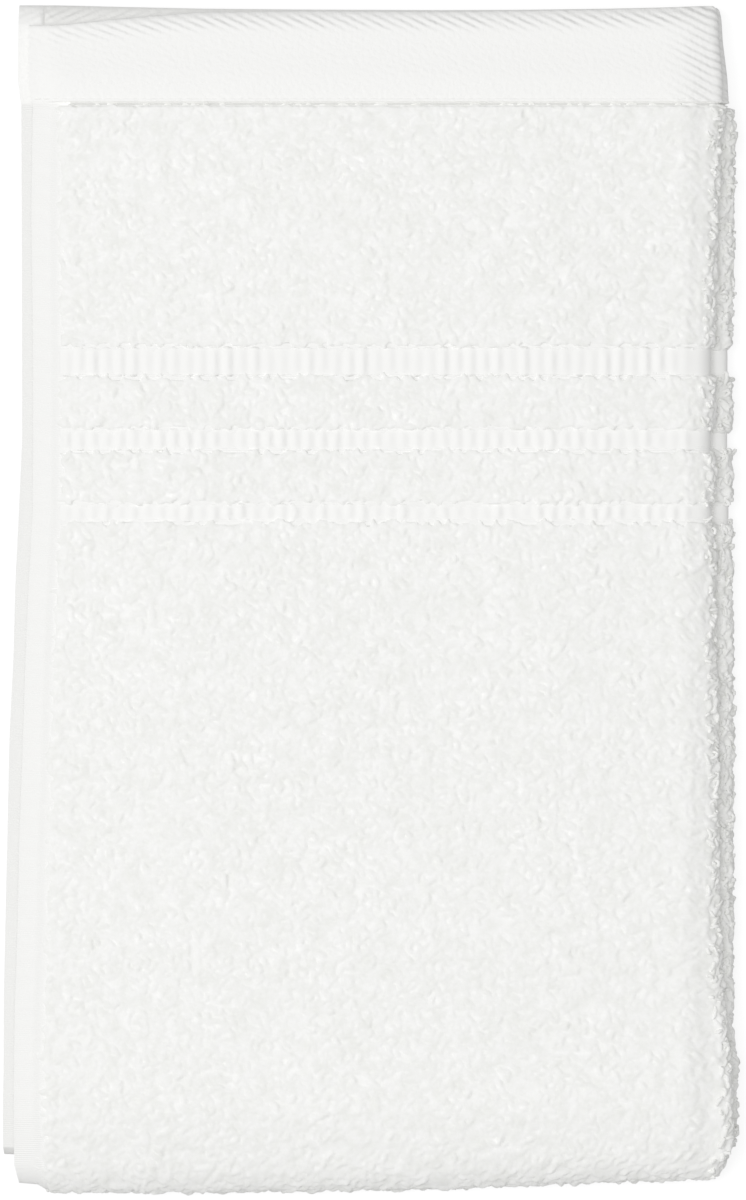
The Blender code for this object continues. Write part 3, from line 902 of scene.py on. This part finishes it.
stitch_side = np.arange(1.6, TOWEL_WIDTH - 1.0, STITCH_PITCH)
stitch_points, stitch_tris = [], []
for line in (STITCH_AT, TOWEL_LENGTH - STITCH_AT):
    side = stitch_side[:, None] + stitch[None, :, 0] * STITCH_HALF_LENGTH
    end = line + stitch[None, :, 1] * STITCH_RADIUS
    lift = STITCH_LIFT + stitch[None, :, 2] * STITCH_RADIUS
    made = folded(side, end, lift)
    made[..., 2] = np.maximum(made[..., 2], 0.0)
    # The fold map mirrors, so the faces are turned round.
    offset = sum(len(p) for p in stitch_points) + np.arange(len(stitch_side))[:, None, None] * len(stitch)
    stitch_tris.append((stitch_faces[None, :, ::-1] + offset).reshape(-1, 3))
    stitch_points.append(made.reshape(-1, 3))
stitches = new_piece("hem_stitches", mesh_of("hem_stitches", np.concatenate(stitch_points), stitch_tris))
thread, shader = new_cotton("cotton_sewing_thread", "#F4F4F0", 0.7)
stitches.data.materials.append(thread)
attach(stitches, "root")

# --- Floor, light and camera ----------------------------------------------------------------------
# The towel lies on a plain floor that comes out white, under two large soft lights, one to the left
# and one above. The camera looks straight down, with the hemmed end at the top of the picture.

bpy.ops.mesh.primitive_plane_add(size=4.0, location=(0.0, 0.0, -0.0001))
floor = bpy.context.object
floor.name = "floor"
floor.data.transform(floor.matrix_world)
floor.matrix_world.identity()
# Matt paper. Its own colour is grey, and it gives off white light, which brings it up to pure white.
paper = bpy.data.materials.new("matt_white_paper")
paper.use_nodes = True
shader = paper.node_tree.nodes["Principled BSDF"]
shader.inputs["Base Color"].default_value = colour("#B3B3B3")
shader.inputs["Roughness"].default_value = 0.9
shader.inputs["Specular IOR Level"].default_value = 0.1
shader.inputs["Emission Color"].default_value = colour("#FFFFFF")
shader.inputs["Emission Strength"].default_value = 0.7
floor.data.materials.append(paper)
# No light comes back from the floor under the towel's edges, as with black cards laid round it.
floor.visible_diffuse = False

world = bpy.data.worlds.new("studio")
bpy.context.scene.world = world
world.use_nodes = True
sky = world.node_tree.nodes["Background"]
sky.inputs["Color"].default_value = colour("#FFFFFF")
sky.inputs["Strength"].default_value = 0.26


def softbox(name, place, size, power):
    """A square light that faces the towel's middle."""
    data = bpy.data.lights.new(name, "AREA")
    data.shape, data.size, data.energy = "SQUARE", size, power
    made = bpy.data.objects.new(name, data)
    bpy.context.scene.collection.objects.link(made)
    made.location = place
    made.rotation_mode = "QUATERNION"
    made.rotation_quaternion = (-Vector(place)).to_track_quat("-Z", "Y")


softbox("key", (-2.1, 0.15, 2.9), 2.2, 43.5)
softbox("top", (-0.3, 0.0, 2.4), 1.4, 24.0)

# The picture is 746 x 1200 pixels of 0.2855 mm each, on a plane 12 mm above the table. Its middle is
# 371 pixels from the folded towel's left outline and 597 from its hemmed end.
PIXEL = 0.2855
CAMERA_HEIGHT = 2.4
VIEW_PLANE = 0.012
PICTURE_HEIGHT = 1200 * PIXEL * MM
camera_data = bpy.data.cameras.new("camera")
camera_data.sensor_width = 36.0
camera_data.lens = 36.0 * (CAMERA_HEIGHT - VIEW_PLANE) / PICTURE_HEIGHT
camera_data.clip_end = 20.0
camera = bpy.data.objects.new("camera", camera_data)
bpy.context.scene.collection.objects.link(camera)
camera.location = (
    (371 * PIXEL - MIDDLE_ACROSS) * MM,
    (MIDDLE_ALONG - 597 * PIXEL) * MM,
    CAMERA_HEIGHT,
)
bpy.context.scene.camera = camera
bpy.context.scene.view_settings.view_transform = "Standard"
bpy.context.scene.view_settings.look = "None"
# The gamma brings the towel's tones close together, up near white.
bpy.context.scene.view_settings.gamma = 1.8
